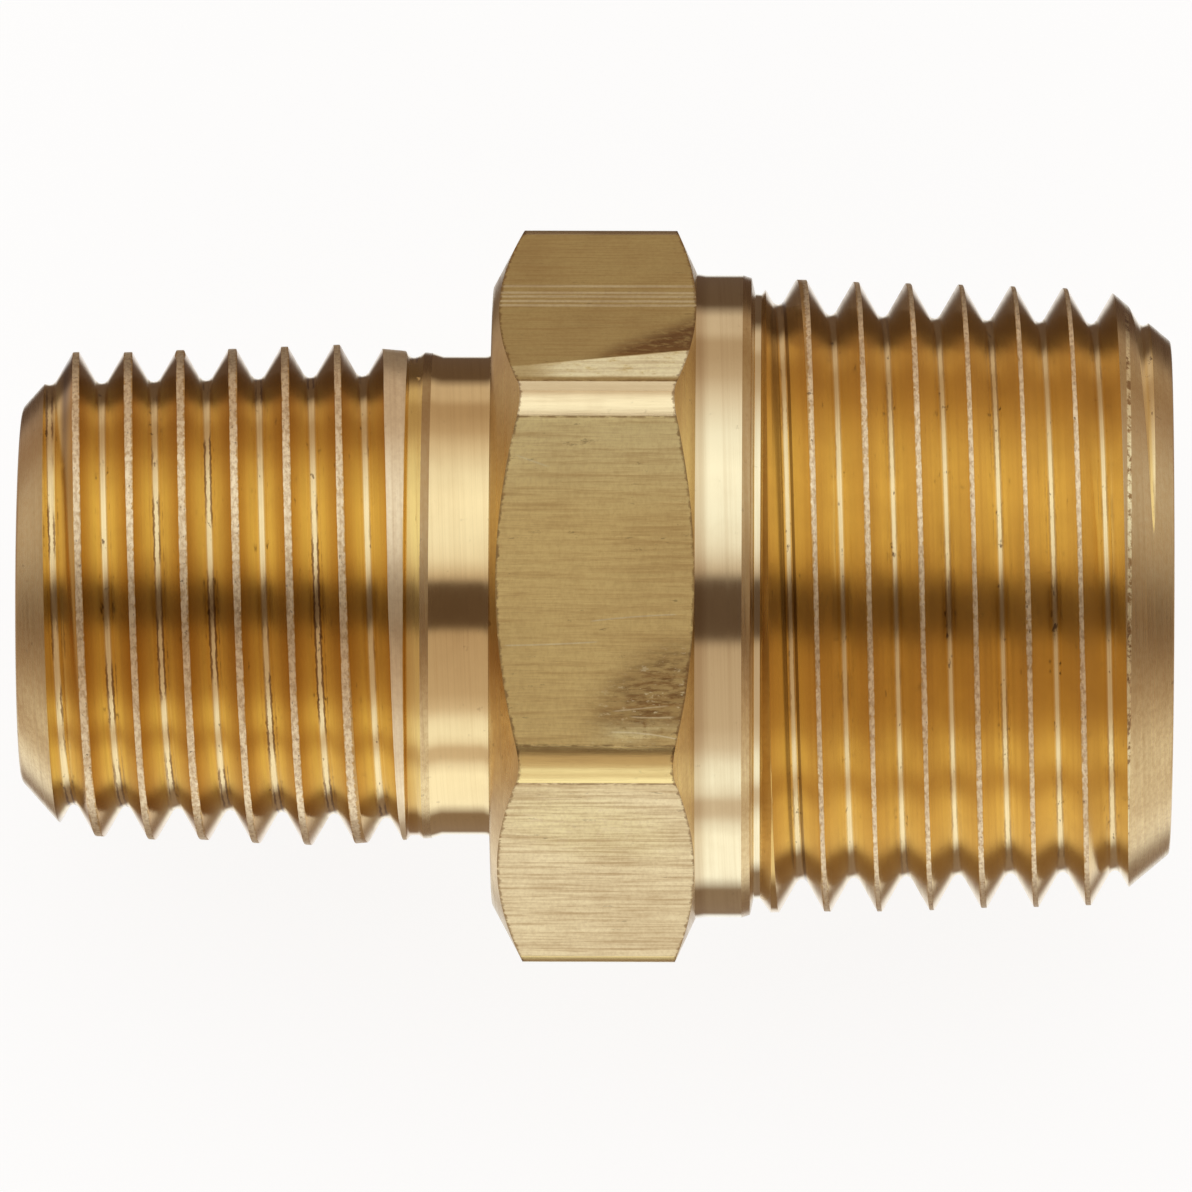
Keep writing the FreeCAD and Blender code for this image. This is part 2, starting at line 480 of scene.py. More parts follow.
def knocked(x, reach):
    """The hexagon's radius along one row, less what has been knocked off its flats."""
    depth, _, _ = knocks(x, ANGLES)
    off_centre = off_flat_centre(ANGLES)
    on_flat = np.abs(off_centre) < FLAT_HALF_ANGLE
    return reach - np.where(on_flat, depth / np.cos(off_centre), 0)


def chamfer_rows(first_x, first_radius, last_x, last_radius):
    """Rows over a chamfer of the hexagon from its first line up to its last, without that."""
    shares = [i / CHAMFER_ROWS for i in range(CHAMFER_ROWS)]
    return [(first_x + (last_x - first_x) * share,
             first_radius + (last_radius - first_radius) * share, HEX_CHAMFER)
            for share in shares]


def hexagon_rows():
    """Stations and radii of the hexagon's rows from the small end's side to the large end's."""
    reach = hexagon_radius(ANGLES)
    ring = np.ones(len(ANGLES))
    between = (ANGLES[:-1] + ANGLES[1:]) / 2
    bar = np.where(np.abs(off_flat_centre(between)) < FLAT_HALF_ANGLE, FLAT, CORNER)
    sides = []
    for end in (SMALL, LARGE):
        face_radius, run = cone_of(end.outward)
        foot = max(face_radius, end.neck_radius + end.neck_flare)
        foot_x = HALF_WIDTH - (foot - face_radius) * run
        edge = knocked(end.outward * ring * HALF_WIDTH, reach)
        edge_x = HALF_WIDTH - np.maximum(edge - face_radius, 0) * run
        foot_radius = np.minimum(ring * foot, edge)
        sides.append((ring * foot_x * end.outward, foot_radius, edge_x * end.outward, edge))
    (low_x, low_radius, low_edge, low_reach), (high_x, high_radius, high_edge, high_reach) = sides
    rows = chamfer_rows(low_x, low_radius, low_edge, low_reach)
    rows.append((low_edge, low_reach, bar))
    for i in range(1, FLAT_ROWS):
        x = low_edge + (high_edge - low_edge) * i / FLAT_ROWS
        rows.append((x, knocked(x, reach), bar))
    rows += chamfer_rows(high_edge, high_reach, high_x, high_radius)
    rows.append((high_x, high_radius, NECK))
    return rows


def end_rows(end):
    """Rows of one end's outside, from its face to the hexagon."""
    depth, radius = end.rows()
    middle = (depth[1:, :-1] + depth[:-1, 1:]) / 2
    between = (ANGLES[:-1] + ANGLES[1:]) / 2
    _, kinds = end.surface(middle, between[None, :])
    return [(end.outward * (END_X - d), r, k) for d, r, k in zip(depth, radius, [*kinds, NECK])]


def mouth_rows(end):
    """Rows from the bore's wall out over the mouth's broken edge, up to the end's rounding."""
    ring = np.ones(len(ANGLES))
    return [(ring * end.outward * (END_X - depth), ring * radius, FACE)
            for depth, radius in end.mouth_line[:-1]]


def turned_round(rows):
    """The same rows met from the other side: a strip's kind belongs to the row before it."""
    kinds = [kind for _, _, kind in rows[:-1]][::-1] + [FACE]
    return [(x, radius, kind) for (x, radius, _), kind in zip(rows[::-1], kinds)]


def wall_of(mount):
    """First and last station of a bore's wall, going towards -X."""
    half = mounts[mount]["dims"]["length_mm"] / 2
    middle = mounts[mount]["pos_m"][0] / MM
    return middle + half, middle - half


def bore_rows():
    """Rows of the waterway between its two mouths' edges, going towards -X."""
    ring = np.ones(len(ANGLES))
    rows = []
    for end, mount in ((LARGE, "large_flow_bore"), (SMALL, "small_flow_bore")):
        first, last = wall_of(mount)
        stations = np.linspace(first, last, BORE_ROWS + 1)
        rows += [(ring * x, ring * end.bore_radius, BORE) for x in stations]
    return rows[1:-1]


def section_rows():
    """Every row of the closed section in order, starting at the small end's face."""
    return (
        end_rows(SMALL)
        + hexagon_rows()
        + turned_round(end_rows(LARGE))
        + turned_round(mouth_rows(LARGE))
        + bore_rows()
        + mouth_rows(SMALL)
    )


# -------- mesh

def build_mesh():
    rows = section_rows()
    x = np.array([row[0] for row in rows])
    radius = np.array([row[1] for row in rows])
    count = len(ANGLES) - 1
    kinds = np.array([np.broadcast_to(row[2], count) for row in rows])
    y = radius * np.cos(ANGLES)
    z = radius * np.sin(ANGLES)
    points = np.stack([x, y, z], axis=-1).reshape(-1, 3)
    wide = len(ANGLES)
    faces = []
    face_kinds = []
    for j in range(len(rows)):
        k = (j + 1) % len(rows)
        for i in range(count):
            faces.append((j * wide + i, j * wide + i + 1, k * wide + i + 1, k * wide + i))
            face_kinds.append(int(kinds[j, i]))
    mesh = bpy.data.meshes.new("nipple")
    mesh.from_pydata((points * MM).tolist(), [], faces)
    mesh.polygons.foreach_set("material_index", face_kinds)
    weld(mesh)
    paint_knocks(mesh)
    return mesh


def paint_knocks(mesh):
    """Writes the flats' soil and bare metal on the mesh, for their material to read."""
    points = np.empty(3 * len(mesh.vertices))
    mesh.vertices.foreach_get("co", points)
    x, y, z = points.reshape(-1, 3).T / MM
    deepest_knock = 0.2
    on_bar = (np.hypot(y, z) > HALF_FLATS - deepest_knock) & (np.abs(x) < HALF_WIDTH)
    _, soil, bare = knocks(x, np.arctan2(z, y))
    for name, share in (("soil", soil), ("bare", bare)):
        layer = mesh.attributes.new(name, "FLOAT", "POINT")
        layer.data.foreach_set("value", np.where(on_bar, share, 0).astype(np.float32))


def weld(mesh):
    """Joins the rows that meet and the first column to the last, and drops what has no area."""
    work = bmesh.new()
    work.from_mesh(mesh)
    bmesh.ops.remove_doubles(work, verts=work.verts, dist=WELD * MM)
    bmesh.ops.dissolve_degenerate(work, edges=work.edges, dist=WELD * MM)
    bmesh.ops.recalc_face_normals(work, faces=work.faces)
    work.to_mesh(mesh)
    work.free()


# -------- node helpers

def node(tree, kind, inputs=None, **settings):
    """Adds a node. An input is a plain value or another node's output."""
    made = tree.nodes.new(kind)
    for name, value in settings.items():
        setattr(made, name, value)
    for name, value in (inputs or {}).items():
        if isinstance(value, bpy.types.NodeSocket):
            tree.links.new(value, made.inputs[name])
        else:
            made.inputs[name].default_value = value
    return made


def empty_tree(owner):
    """The node tree of a material or a world, with nothing in it yet."""
    owner.use_nodes = True
    owner.node_tree.nodes.clear()
    return owner.node_tree


def calculate(tree, operation, a, b=0.0, third=0.0, clamp=False):
    made = node(tree, "ShaderNodeMath", {0: a, 1: b, 2: third}, operation=operation,
                use_clamp=clamp)
    return made.outputs[0]


def product(tree, *factors):
    result = factors[0]
    for factor in factors[1:]:
        result = calculate(tree, "MULTIPLY", result, factor)
    return result


def plus(tree, a, b):
    return calculate(tree, "ADD", a, b)


def minus(tree, a, b):
    return calculate(tree, "SUBTRACT", a, b)


def split(tree, vector):
    """The X, Y and Z of a vector."""
    return node(tree, "ShaderNodeSeparateXYZ", {0: vector}).outputs


def smooth_range(tree, value, low, high, to_low=0.0, to_high=1.0):
    """Turns low..high into to_low..to_high, easing in and out."""
    made = node(
        tree, "ShaderNodeMapRange",
        {"Value": value, "From Min": low, "From Max": high, "To Min": to_low, "To Max": to_high},
        interpolation_type="SMOOTHSTEP",
    )
    return made.outputs["Result"]


def mix(tree, share, a, b):
    made = node(tree, "ShaderNodeMix", data_type="RGBA")
    for name, value in (("Factor", share), ("A", a), ("B", b)):
        sockets = [s for s in made.inputs if s.name == name and s.enabled]
        if isinstance(value, bpy.types.NodeSocket):
            tree.links.new(value, sockets[0])
        else:
            sockets[0].default_value = value
    return next(s for s in made.outputs if s.enabled)


def plain_place(tree):
    """A place on the fitting in millimetres."""
    place = node(tree, "ShaderNodeTexCoord").outputs["Object"]
    return node(tree, "ShaderNodeVectorMath", {0: place, "Scale": 1 / MM},
                operation="SCALE").outputs[0]


def along_bore(tree):
    """Distance along the bore from the middle of the hexagon, in millimetres."""
    return split(tree, plain_place(tree))["X"]


def thread_place(tree):
    """A place on the fitting in millimetres, with X measured along the thread's helix."""
    x, y, z = split(tree, plain_place(tree))
    around = calculate(tree, "ARCTAN2", z, y)
    lead = product(tree, around, PITCH / 2 / math.pi)
    along = minus(tree, x, lead)
    return node(tree, "ShaderNodeCombineXYZ", {0: along, 1: y, 2: z}).outputs[0]


def stretched_noise(tree, place, along, across, detail=4.0, roughness=0.7, offset=0.0):
    """Noise with its own fineness, in features per millimetre, along X and across the axis."""
    sized = node(tree, "ShaderNodeVectorMath",
                 {0: place, 1: (along, across, across), 2: (offset, offset, offset)},
                 operation="MULTIPLY_ADD")
    made = node(tree, "ShaderNodeTexNoise",
                {"Vector": sized.outputs[0], "Scale": 1.0, "Detail": detail,
                 "Roughness": roughness})
    return made.outputs["Fac"]


# -------- brass

# Polished brass, also used for painted light towards -Y and a painted highlight along the roots
POLISHED_AND_LIT = (0.920, 0.745, 0.410, 1)
CUT = (0.845, 0.615, 0.235, 1)
DEEP = (0.560, 0.300, 0.045, 1)
GOLDEN = (0.930, 0.740, 0.250, 1)
DRAWN = (0.930, 0.725, 0.310, 1)
WORN = (0.660, 0.485, 0.200, 1)
SUNLIT = (0.980, 0.835, 0.520, 1)
PALE = (0.955, 0.870, 0.600, 1)
# Painted shade on the sides towards +Y
PAINTED_SHADE = (0.760, 0.610, 0.265, 1)
TORN = (0.970, 0.820, 0.560, 1)
MATTE = (0.520, 0.370, 0.190, 1)
# Bare metal where the flats are rubbed, and painted light over the upper part of the facing flat
BARE_AND_LIT = (0.980, 0.860, 0.450, 1)
SCRATCHED = (1.000, 0.900, 0.560, 1)
# Tarnish, and painted shade where the large neck meets the hexagon
TARNISH_AND_SHADE = (0.420, 0.240, 0.085, 1)
# Grime, and painted shade along the spanner's bite and beside the bar's corners
SOIL_AND_SHADE = (0.230, 0.120, 0.045, 1)
# Dirt, and painted shade beside the small end's first turn
DIRT_AND_SHADE = (0.110, 0.048, 0.020, 1)


@dataclass
class Finish:
    """How one kind of surface was left by the tool that made it, what has aged it, and the light and
    shade painted on some kinds.
    """

    name: str
    colour: tuple
    roughness: float
    spread: float = 0.6  # how far reflections smear across the tool marks and not along them
    turned: bool = True  # tool marks run round the axis, else along it
    marks: float = 9.0  # per millimetre
    mark_depth: float = 0.0015
    streaks: float = 0.2  # share of tarnish between the tool marks
    stain: float = 0.3  # share of tarnish in the blotches
    specks: float = 0.2  # share of dirt in the specks
    speck_size: tuple = (3.0, 3.0)
    speck_start: float = 0.64
    mottle: float = 0.0  # share of tarnish in the grain
    metallic: float = 1.0
    torn: object = None  # a function for the share of it that scatters light: torn metal on the flats, and painted light on the corners
    colouring: object = None  # a function that changes the base colour further


def strip(tree, value, low, high, soft):
    """One between low and high, falling to nothing over the soft distance outside them."""
    above = smooth_range(tree, value, low - soft, low)
    below = smooth_range(tree, value, high, high + soft, 1.0, 0.0)
    return product(tree, above, below)


def sloping(tree, value, x, slope):
    """The value less so much of X: lines of it that lean."""
    return minus(tree, value, product(tree, x, slope))


def die_scores(tree, side):
    """Fine bright lines that the drawing die has left along one side of the bar."""
    half_line, soft = 0.022, 0.025
    total = 0.0
    for above_corner in (2.58, 2.71, 2.85, 2.96, 3.16):
        middle = HALF_SIDE + above_corner
        line = strip(tree, side, middle - half_line, middle + half_line, soft)
        total = calculate(tree, "ADD", total, line, clamp=True)
    return total


def bite_edge(tree, x, side):
    """Rises through one along the upper edge of the bite that a spanner has left on a flat."""
    return sloping(tree, minus(tree, side, HALF_SIDE), x, 0.104)


def bite_shadow(tree, x, side, top):
    """Painted shadow along the upper edge of the spanner's bite."""
    height = smooth_range(tree, sloping(tree, side, x, 0.425), HALF_SIDE + 0.75,
                          HALF_SIDE + 1.35, 1.0, 0.0)
    above = smooth_range(tree, bite_edge(tree, x, side), 0.97, 1.02)
    return product(tree, height, above, smooth_range(tree, x, -1.0, 0.9), top)


def bite_bared(tree, place):
    """The torn, bare metal where a spanner has slipped beside one corner."""
    x, side, up = split(tree, place)
    foot = smooth_range(tree, side, HALF_SIDE + 0.40, HALF_SIDE + 0.50)
    below = smooth_range(tree, bite_edge(tree, x, side), 0.96, 1.00, 1.0, 0.0)
    fading = smooth_range(tree, x, -1.9, -0.6, 0.3, 1.0)
    return product(tree, foot, below, fading, smooth_range(tree, up, 0.0, 0.5, 0.0, 0.85))


def scratches(tree, x, side, top):
    """A few long bright scratches across the facing flat."""
    half_line, soft, fade = 0.005, 0.025, 0.2
    total = 0.0
    for start_x, start_side, slope, length, fall in (
        (0.65, -4.02, 0.00, 1.75, -0.070), (0.70, -3.45, 0.10, 1.20, 0.0),
        (1.15, -3.62, -0.05, 0.90, 0.05), (0.10, -1.05, 0.12, 2.00, -0.02),
        (-1.90, 3.30, -0.35, 0.60, 0.0), (-2.20, -1.72, 0.02, 2.20, 0.01),
    ):
        along = minus(tree, x, start_x)
        bend = product(tree, along, fall, along)
        line = sloping(tree, minus(tree, side, bend), along, slope)
        mark = strip(tree, line, start_side - half_line, start_side + half_line, soft)
        mark = product(tree, mark, strip(tree, along, 0, length, fade))
        total = calculate(tree, "ADD", total, mark, clamp=True)
    return product(tree, total, top, 0.85)


def worn_edge(tree, x, place):
    """How near the hexagon's chamfers are: nothing on them, and negative away from them."""
    flat = node(tree, "ShaderNodeVectorMath", {0: place, 1: (0, 1, 1)}, operation="MULTIPLY")
    radius = node(tree, "ShaderNodeVectorMath", {0: flat.outputs[0]}, operation="LENGTH")
    nearest = -HALF_WIDTH
    for end in (SMALL, LARGE):
        face_radius, run = cone_of(end.outward)
        reached = calculate(tree, "MULTIPLY_ADD", radius.outputs["Value"], run,
                            third=-HALF_WIDTH - run * face_radius)
        across = product(tree, x, float(end.outward))
        nearest = calculate(tree, "MAXIMUM", nearest, plus(tree, reached, across))
    return nearest


def edge_nicks(tree, place, base):
    """A dark ragged line where the sides meet the hexagon's chamfers."""
    x = split(tree, place)["X"]
    ragged = stretched_noise(tree, place, 4.0, 5.0, offset=33.0)
    wander = product(tree, minus(tree, ragged, 0.5), 0.30)
    edge = plus(tree, worn_edge(tree, x, place), wander)
    return mix(tree, smooth_range(tree, edge, -0.08, -0.01, 0.0, 0.75), base, SOIL_AND_SHADE)


def soil_patch(tree, place, base):
    """Grime in fine streaks along the bar, with flecks of bare metal in it."""
    share = node(tree, "ShaderNodeAttribute", attribute_name="soil").outputs["Fac"]
    streaks = stretched_noise(tree, place, 1.8, 8.0, detail=5.0, roughness=0.75, offset=9.0)
    grime = smooth_range(tree, streaks, 0.42, 0.62, 0.45, 0.95)
    base = mix(tree, product(tree, share, grime), base, SOIL_AND_SHADE)
    flecks = stretched_noise(tree, place, 4.0, 8.0, offset=27.0)
    shining = smooth_range(tree, flecks, 0.60, 0.66, 0.0, 0.8)
    return mix(tree, product(tree, share, shining), base, SCRATCHED)


def bar_painted_light(tree, side, base):
    """Painted light and shade on the bar's sides: palest towards -Y and darkest towards +Y."""
    low, high = HALF_SIDE - 0.8, HALF_SIDE + 0.8
    base = mix(tree, smooth_range(tree, side, -high, -low, 0.95, 0.0), base, SUNLIT)
    # Painted light over the upper part of the facing flat
    base = mix(tree, smooth_range(tree, side, 0.3 * low, low, 0.0, 0.7), base, BARE_AND_LIT)
    # Painted shade towards +Y
    return mix(tree, smooth_range(tree, side, low, high), base, PAINTED_SHADE)


def bar_seam_shade(tree, side, breakup, base):
    """Painted shade: broken dark lines along the bar, on both sides of its corners."""
    off_middle = calculate(tree, "ABSOLUTE", side)
    dirt_and_shade = smooth_range(tree, breakup, 0.42, 0.60, 0.75, 0.0)
    half_line, soft = 0.02, 0.06
    for seam in (HALF_SIDE - 0.635, HALF_SIDE + 0.32):
        line = strip(tree, off_middle, seam - half_line, seam + half_line, soft)
        base = mix(tree, product(tree, line, dirt_and_shade), base, SOIL_AND_SHADE)
    return base


def bar_marks_light_and_shade(tree, place, base):
    """The drawn bar's sides: painted light and shade by side, scored by the die, grimy in places
    and knocked bare in others, with a painted shadow along a spanner's bite and painted shade
    lines beside the corners.
    """
    x, side, up = split(tree, place)
    top = smooth_range(tree, up, 0.0, 0.5)
    base = bar_painted_light(tree, side, base)
    base = mix(tree, die_scores(tree, side), base, SCRATCHED)
    breakup = stretched_noise(tree, place, 2.6, 5.0, detail=5.0, roughness=0.75, offset=9.0)
    seldom = smooth_range(tree, breakup, 0.46, 0.64, 1.0, 0.45)
    mostly = smooth_range(tree, breakup, 0.52, 0.66, 1.0, 0.0)
    base = mix(tree, product(tree, bite_bared(tree, place), mostly), base, SCRATCHED)
    # Painted shadow along the spanner's bite, broken up by noise
    bite_shade = bite_shadow(tree, x, side, top)
    base = mix(tree, product(tree, bite_shade, seldom), base, SOIL_AND_SHADE)
    base = soil_patch(tree, place, base)
    rubbed = node(tree, "ShaderNodeAttribute", attribute_name="bare").outputs["Fac"]
    base = mix(tree, product(tree, rubbed, mostly), base, BARE_AND_LIT)
    base = mix(tree, scratches(tree, x, side, top), base, SCRATCHED)
    # Painted shade lines beside the corners
    base = bar_seam_shade(tree, side, breakup, base)
    return edge_nicks(tree, place, base)


def corner_light_and_nicks(tree, place, base):
    """The bar's corners, with painted light that makes them more golden towards -Y."""
    side = split(tree, place)["Y"]
    # Painted light: more golden towards -Y
    base = mix(tree, smooth_range(tree, side, -1.0, 1.0, 0.6, 0.0), base, GOLDEN)
    return edge_nicks(tree, place, base)


def corner_painted_light(tree, place):
    """Painted light: the upper side of the corner that faces the camera from +Y scatters light,
    which brightens it.
    """
    side = split(tree, place)["Y"]
    worn = strip(tree, side, HALF_SIDE + 0.12, HALF_SIDE + 0.50, 0.12)
    return product(tree, worn, 0.6)


def from_crest(tree, place):
    """Distance in millimetres, along X, from the middle of the nearest crest."""
    along = split(tree, place)["X"]
    side = calculate(tree, "GREATER_THAN", along, 0.0)
    small = minus(tree, along, SMALL.crest)
    shift = product(tree, side, SMALL.crest - LARGE.crest)
    return calculate(tree, "PINGPONG", plus(tree, small, shift), PITCH / 2)


def crest_ageing(tree, place, base):
    """Full crests keep a ragged pale line along their middle and are golden beside it."""
    along = split(tree, place)["X"]
    half = smooth_range(tree, along, -1.0, 1.0, SMALL.crest_flat / 2, LARGE.crest_flat / 2)
    torn = stretched_noise(tree, place, 3.0, 6.0, offset=17.0)
    wander = product(tree, minus(tree, torn, 0.48), 0.22)
    beyond = minus(tree, from_crest(tree, place), half)
    edge = plus(tree, beyond, wander)
    x = along_bore(tree)
    small_last, large_last, soft = -5.9, 5.0, 0.3
    small_full = smooth_range(tree, x, small_last, small_last + soft, 1.0, 0.0)
    large_full = smooth_range(tree, x, large_last, large_last + soft)
    full = calculate(tree, "MAXIMUM", small_full, large_full)
    share = product(tree, full, smooth_range(tree, edge, -0.02, 0.02, 0.0, 0.8))
    return mix(tree, share, base, DEEP)


def run_out_step(tree, along, base):
    """A dark step along the groove's last turn, where the large end's cutter stopped."""
    step = END_X - LARGE.full_thread_depth - 0.32
    line = strip(tree, along, step - 0.01, step + 0.05, 0.02)
    return mix(tree, product(tree, line, 0.7), base, DIRT_AND_SHADE)


def flank_light_and_marks(tree, place, base):
    """Painted reflection colour: flanks are golden beside the roots and deeper in colour towards the
    crests, and more so on the small end. The side towards +Y is darker, and painted shade darkens
    what is left of the small end's chamfer beside its first turn."""
    along, side, _ = split(tree, place)
    # Painted reflection colour across the groove, stronger on the small end
    painted_share = smooth_range(tree, along, -END_X, END_X, 0.95, 0.10)
    off_crest = from_crest(tree, place)
    high = smooth_range(tree, off_crest, 0.05, 0.50, 1.0, 0.05)
    base = mix(tree, product(tree, high, painted_share), base, DEEP)
    low = smooth_range(tree, off_crest, 0.34, 0.58, 0.0, 0.55)
    base = mix(tree, product(tree, low, painted_share), base, GOLDEN)
    # Darker on the side towards +Y
    shaded, middle_depth = 0.81, 5
    shade = smooth_range(tree, along, -1.0, 1.0, shaded * SMALL.cone(middle_depth),
                         shaded * LARGE.cone(middle_depth))
    beyond = minus(tree, side, shade)
    base = mix(tree, smooth_range(tree, beyond, -0.10, 0.25, 0.0, 0.5), base, TARNISH_AND_SHADE)
    # Painted shade on what is left of the small end's chamfer beside its first turn
    x = along_bore(tree)
    first_turn = smooth_range(tree, x, 1.2 - END_X, 1.5 - END_X, 1.0, 0.0)
    remnant = smooth_range(tree, off_crest, 0.25, 0.45, 0.9, 0.0)
    base = mix(tree, product(tree, first_turn, remnant), base, DIRT_AND_SHADE)
    return run_out_step(tree, along, base)


def root_highlight_and_dirt(tree, place, base):
    """A painted highlight along its middle, and ragged with dirt here and there on the small end."""
    off_root = minus(tree, PITCH / 2, from_crest(tree, place))
    # Painted highlight along the root's middle
    base = mix(tree, smooth_range(tree, off_root, 0.03, 0.13, 1.0, 0.0), base, POLISHED_AND_LIT)
    along = split(tree, place)["X"]
    torn = stretched_noise(tree, place, 9.0, 4.5, offset=5.0)
    edge = plus(tree, off_root, product(tree, torn, 0.12))
    edge = strip(tree, edge, 0.115, 0.15, 0.02)
    somewhere = stretched_noise(tree, place, 0.7, 0.3, detail=2.0, roughness=0.6, offset=21.0)
    dirt_and_shade = smooth_range(tree, somewhere, 0.48, 0.58)
    share = product(tree, edge, dirt_and_shade, smooth_range(tree, along, -2.0, 6.0, 0.85, 0.35))
    return run_out_step(tree, along, mix(tree, share, base, SOIL_AND_SHADE))


def neck_tones_and_shade(tree, place, base):
    """The large end's neck is the paler, with painted shade where it meets the hexagon."""
    x = along_bore(tree)
    base = mix(tree, smooth_range(tree, x, -1.0, 1.0, 0.0, 0.8), base, PALE)
    # Painted shade where the neck meets the hexagon
    near = strip(tree, x, HALF_WIDTH - 1.0, HALF_WIDTH + 0.05, 0.3)
    return mix(tree, product(tree, near, 0.4), base, TARNISH_AND_SHADE)


def side_light(tree, place, base):
    """Painted light and shade: paler towards -Y and darker towards +Y."""
    side = split(tree, place)["Y"]
    low, high = HALF_SIDE - 0.8, HALF_SIDE + 0.8
    base = mix(tree, smooth_range(tree, side, -low, -0.25 * low, 0.8, 0.0), base, POLISHED_AND_LIT)
    return mix(tree, smooth_range(tree, side, low, high, 0.0, 0.3), base, PAINTED_SHADE)


def chamfer_light_and_burr(tree, place, base):
    """Painted light and shade by side, as on the hexagon's chamfers; the large end's chamfer also
    carries a ragged burr where the thread runs out of it.
    """
    # Painted light and shade by side
    base = side_light(tree, place, base)
    x = along_bore(tree)
    deepest, shallowest, soft = 1.26, 1.18, 0.03
    burr = strip(tree, x, END_X - deepest, END_X - shallowest, soft)
    torn = stretched_noise(tree, place, 3.0, 4.0, offset=13.0)
    share = product(tree, burr, smooth_range(tree, torn, 0.42, 0.54))
    base = mix(tree, share, base, SCRATCHED)
    dirt_and_shade = smooth_range(tree, torn, 0.40, 0.46, 0.8, 0.0)
    return mix(tree, product(tree, burr, dirt_and_shade), base, SOIL_AND_SHADE)


FINISHES = (
    Finish("neck", POLISHED_AND_LIT, 0.10, marks=7.0, stain=0.15, specks=0.2, streaks=0.14,
           colouring=neck_tones_and_shade),
    Finish("end_chamfer", MATTE, 0.27, spread=0.85, marks=6.0, mark_depth=0.003, stain=0.4,
           specks=0.4, mottle=0.3, colouring=chamfer_light_and_burr),
    Finish("end_face", POLISHED_AND_LIT, 0.25, mark_depth=0.004),
    Finish("thread_crest", TORN, 0.36, spread=0.0, marks=4.0, mark_depth=0.006, stain=0.2,
           specks=0.75, speck_size=(8.0, 5.0), speck_start=0.61, mottle=0.6, metallic=0.9,
           colouring=crest_ageing),
    Finish("thread_flank", CUT, 0.15, spread=0.8, marks=10.0, stain=0.25, specks=0.6,
           speck_size=(9.0, 1.6), speck_start=0.65, metallic=0.95, colouring=flank_light_and_marks),
    Finish("thread_root", CUT, 0.15, spread=0.7, marks=10.0, stain=0.25, specks=0.8,
           speck_size=(5.0, 2.2), speck_start=0.62, colouring=root_highlight_and_dirt),
    Finish("drawn_flat", DRAWN, 0.34, spread=0.8, turned=False, marks=8.0, mark_depth=0.004,
           streaks=0.50, stain=0.25, specks=0.45, speck_size=(1.5, 5.0), mottle=0.18,
           torn=bite_bared, colouring=bar_marks_light_and_shade),
    # The corner's scattering share is painted light on its upper side
    Finish("bar_corner", SUNLIT, 0.22, turned=False, marks=8.0, mark_depth=0.004,
           streaks=0.15, stain=0.15, torn=corner_painted_light, colouring=corner_light_and_nicks),
    Finish("hex_chamfer", WORN, 0.28, mark_depth=0.004, stain=0.6, specks=0.5, mottle=0.2,
           colouring=side_light),
    Finish("drilled_bore", CUT, 0.22, marks=5.0, mark_depth=0.004, stain=0.5),
    Finish("last_crest", TORN, 0.34, spread=0.0, marks=5.0, mark_depth=0.004, stain=0.3,
           streaks=0.3, specks=0.2, mottle=0.15, metallic=0.9),
)


def coloured(tree, finish, place, marks):
    """The metal's colour: its finish's own colouring, with painted light and shade on some surfaces,
    then tarnished in streaks, blotches and grain, then specked.
    """
    base = finish.colour
    if finish.colouring:
        base = finish.colouring(tree, place, base)
    blotches = stretched_noise(tree, place, 0.5, 0.3, detail=5.0, roughness=0.65)
    grain = stretched_noise(tree, place, 10.0, 6.0, offset=4.0)
    specks = stretched_noise(tree, place, *finish.speck_size)
    start = finish.speck_start
    for pattern, low, high, share, tint in (
        (marks, 0.40, 0.70, finish.streaks, TARNISH_AND_SHADE),
        (blotches, 0.40, 0.75, finish.stain, TARNISH_AND_SHADE),
        (grain, 0.38, 0.66, finish.mottle, TARNISH_AND_SHADE),
        (specks, start, start + 0.09, finish.specks, DIRT_AND_SHADE),
    ):
        base = mix(tree, smooth_range(tree, pattern, low, high, 0.0, share), base, tint)
    return base


def brass(finish):
    material = bpy.data.materials.new(finish.name)
    tree = empty_tree(material)
    place = thread_place(tree) if finish.turned else plain_place(tree)
    along, across = (finish.marks, 0.04) if finish.turned else (0.35, finish.marks)
    marks = stretched_noise(tree, place, along, across, roughness=0.75)
    base = coloured(tree, finish, place, marks)
    metallic = finish.metallic
    if finish.torn:
        metallic = minus(tree, metallic, finish.torn(tree, place))
    rough = smooth_range(tree, marks, 0.2, 0.8, finish.roughness * 0.8, finish.roughness * 1.25)
    bump = node(tree, "ShaderNodeBump", {"Height": marks, "Strength": 1.0,
                                         "Distance": finish.mark_depth * MM})
    outwards = node(tree, "ShaderNodeNewGeometry").outputs["Normal"]
    round_axis = node(tree, "ShaderNodeVectorMath", {0: (1, 0, 0), 1: outwards},
                      operation="CROSS_PRODUCT").outputs[0]
    shader = node(tree, "ShaderNodeBsdfPrincipled",
                  {"Base Color": base, "Metallic": metallic, "Roughness": rough,
                   "Normal": bump.outputs[0], "Anisotropic": finish.spread,
                   "Tangent": (1, 0, 0) if finish.turned else round_axis})
    node(tree, "ShaderNodeOutputMaterial", {"Surface": shader.outputs[0]})
    return material


# -------- studio

